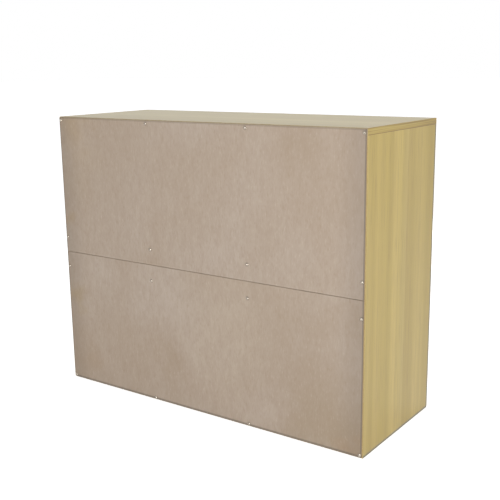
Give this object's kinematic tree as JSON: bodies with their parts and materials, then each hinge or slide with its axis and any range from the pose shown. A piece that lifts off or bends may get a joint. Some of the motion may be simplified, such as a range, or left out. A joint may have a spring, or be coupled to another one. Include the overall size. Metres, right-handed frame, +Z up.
{
  "type": "literature organizer",
  "caption": "Open-fronted wooden sorter in medium oak laminate with columns of slide-out hardboard shelves and a screwed hardboard back.",
  "frame": {"origin": "middle of the base, on the plane that the organizer stands on", "axes": "+X along the width, +Y towards the screwed back, +Z up; the open front faces -Y"},
  "size_m": [0.79, 0.3018, 0.63],
  "materials": {
    "oak_laminate": "wood-grain melamine laminate on particle board, satin",
    "oak_edge_band": "wood-grain PVC edge band, satin",
    "back_hardboard": "pressed hardboard, smooth face, unpainted",
    "shelf_hardboard": "pressed hardboard, smooth face, unpainted",
    "black_moulding": "extruded black plastic, satin",
    "zinc_plated_steel": "bright zinc plate",
    "die_cast_zinc": "die-cast zinc, dull",
    "beech": "fluted beech dowel, raw"
  },
  "bodies": {
    "cabinet": {"back_screws": "zinc_plated_steel", "bottom_edge_band": "oak_edge_band", "bottom_panel": "oak_laminate", "cam_bolts": "zinc_plated_steel", "cam_locks": "die_cast_zinc", "divider_1": "oak_laminate", "divider_1_edge_band": "oak_edge_band", "divider_2": "oak_laminate", "divider_2_edge_band": "oak_edge_band", "dowels": "beech", "left_side_edge_band": "oak_edge_band", "left_side_panel": "oak_laminate", "lower_back_sheet": "back_hardboard", "right_side_edge_band": "oak_edge_band", "right_side_panel": "oak_laminate", "top_edge_bands": "oak_edge_band", "top_panel": "oak_laminate", "upper_back_sheet": "back_hardboard"},
    "column_1_shelf_1_body": {"column_1_shelf_1": "shelf_hardboard", "column_1_label_holder_1": "black_moulding"},
    "column_1_shelf_2_body": {"column_1_shelf_2": "shelf_hardboard", "column_1_label_holder_2": "black_moulding"},
    "column_1_shelf_3_body": {"column_1_shelf_3": "shelf_hardboard", "column_1_label_holder_3": "black_moulding"},
    "column_1_shelf_4_body": {"column_1_shelf_4": "shelf_hardboard", "column_1_label_holder_4": "black_moulding"},
    "column_1_shelf_5_body": {"column_1_shelf_5": "shelf_hardboard", "column_1_label_holder_5": "black_moulding"},
    "column_1_shelf_6_body": {"column_1_shelf_6": "shelf_hardboard", "column_1_label_holder_6": "black_moulding"},
    "column_1_shelf_7_body": {"column_1_shelf_7": "shelf_hardboard", "column_1_label_holder_7": "black_moulding"},
    "column_2_shelf_1_body": {"column_2_shelf_1": "shelf_hardboard", "column_2_label_holder_1": "black_moulding"},
    "column_2_shelf_2_body": {"column_2_shelf_2": "shelf_hardboard", "column_2_label_holder_2": "black_moulding"},
    "column_2_shelf_3_body": {"column_2_shelf_3": "shelf_hardboard", "column_2_label_holder_3": "black_moulding"},
    "column_2_shelf_4_body": {"column_2_shelf_4": "shelf_hardboard", "column_2_label_holder_4": "black_moulding"},
    "column_2_shelf_5_body": {"column_2_shelf_5": "shelf_hardboard", "column_2_label_holder_5": "black_moulding"},
    "column_2_shelf_6_body": {"column_2_shelf_6": "shelf_hardboard", "column_2_label_holder_6": "black_moulding"},
    "column_2_shelf_7_body": {"column_2_shelf_7": "shelf_hardboard", "column_2_label_holder_7": "black_moulding"},
    "column_3_shelf_1_body": {"column_3_shelf_1": "shelf_hardboard", "column_3_label_holder_1": "black_moulding"},
    "column_3_shelf_2_body": {"column_3_shelf_2": "shelf_hardboard", "column_3_label_holder_2": "black_moulding"},
    "column_3_shelf_3_body": {"column_3_shelf_3": "shelf_hardboard", "column_3_label_holder_3": "black_moulding"},
    "column_3_shelf_4_body": {"column_3_shelf_4": "shelf_hardboard", "column_3_label_holder_4": "black_moulding"},
    "column_3_shelf_5_body": {"column_3_shelf_5": "shelf_hardboard", "column_3_label_holder_5": "black_moulding"},
    "column_3_shelf_6_body": {"column_3_shelf_6": "shelf_hardboard", "column_3_label_holder_6": "black_moulding"},
    "column_3_shelf_7_body": {"column_3_shelf_7": "shelf_hardboard", "column_3_label_holder_7": "black_moulding"}
  },
  "joints": [
    {"name": "column_1_shelf_1_slide", "type": "slide", "parent": "cabinet", "child": "column_1_shelf_1_body", "axis": [0, -1, 0], "range_m": [0, 0.3]},
    {"name": "column_1_shelf_2_slide", "type": "slide", "parent": "cabinet", "child": "column_1_shelf_2_body", "axis": [0, -1, 0], "range_m": [0, 0.3]},
    {"name": "column_1_shelf_3_slide", "type": "slide", "parent": "cabinet", "child": "column_1_shelf_3_body", "axis": [0, -1, 0], "range_m": [0, 0.3]},
    {"name": "column_1_shelf_4_slide", "type": "slide", "parent": "cabinet", "child": "column_1_shelf_4_body", "axis": [0, -1, 0], "range_m": [0, 0.3]},
    {"name": "column_1_shelf_5_slide", "type": "slide", "parent": "cabinet", "child": "column_1_shelf_5_body", "axis": [0, -1, 0], "range_m": [0, 0.3]},
    {"name": "column_1_shelf_6_slide", "type": "slide", "parent": "cabinet", "child": "column_1_shelf_6_body", "axis": [0, -1, 0], "range_m": [0, 0.3]},
    {"name": "column_1_shelf_7_slide", "type": "slide", "parent": "cabinet", "child": "column_1_shelf_7_body", "axis": [0, -1, 0], "range_m": [0, 0.3]},
    {"name": "column_2_shelf_1_slide", "type": "slide", "parent": "cabinet", "child": "column_2_shelf_1_body", "axis": [0, -1, 0], "range_m": [0, 0.3]},
    {"name": "column_2_shelf_2_slide", "type": "slide", "parent": "cabinet", "child": "column_2_shelf_2_body", "axis": [0, -1, 0], "range_m": [0, 0.3]},
    {"name": "column_2_shelf_3_slide", "type": "slide", "parent": "cabinet", "child": "column_2_shelf_3_body", "axis": [0, -1, 0], "range_m": [0, 0.3]},
    {"name": "column_2_shelf_4_slide", "type": "slide", "parent": "cabinet", "child": "column_2_shelf_4_body", "axis": [0, -1, 0], "range_m": [0, 0.3]},
    {"name": "column_2_shelf_5_slide", "type": "slide", "parent": "cabinet", "child": "column_2_shelf_5_body", "axis": [0, -1, 0], "range_m": [0, 0.3]},
    {"name": "column_2_shelf_6_slide", "type": "slide", "parent": "cabinet", "child": "column_2_shelf_6_body", "axis": [0, -1, 0], "range_m": [0, 0.3]},
    {"name": "column_2_shelf_7_slide", "type": "slide", "parent": "cabinet", "child": "column_2_shelf_7_body", "axis": [0, -1, 0], "range_m": [0, 0.3]},
    {"name": "column_3_shelf_1_slide", "type": "slide", "parent": "cabinet", "child": "column_3_shelf_1_body", "axis": [0, -1, 0], "range_m": [0, 0.3]},
    {"name": "column_3_shelf_2_slide", "type": "slide", "parent": "cabinet", "child": "column_3_shelf_2_body", "axis": [0, -1, 0], "range_m": [0, 0.3]},
    {"name": "column_3_shelf_3_slide", "type": "slide", "parent": "cabinet", "child": "column_3_shelf_3_body", "axis": [0, -1, 0], "range_m": [0, 0.3]},
    {"name": "column_3_shelf_4_slide", "type": "slide", "parent": "cabinet", "child": "column_3_shelf_4_body", "axis": [0, -1, 0], "range_m": [0, 0.3]},
    {"name": "column_3_shelf_5_slide", "type": "slide", "parent": "cabinet", "child": "column_3_shelf_5_body", "axis": [0, -1, 0], "range_m": [0, 0.3]},
    {"name": "column_3_shelf_6_slide", "type": "slide", "parent": "cabinet", "child": "column_3_shelf_6_body", "axis": [0, -1, 0], "range_m": [0, 0.3]},
    {"name": "column_3_shelf_7_slide", "type": "slide", "parent": "cabinet", "child": "column_3_shelf_7_body", "axis": [0, -1, 0], "range_m": [0, 0.3]}
  ]
}
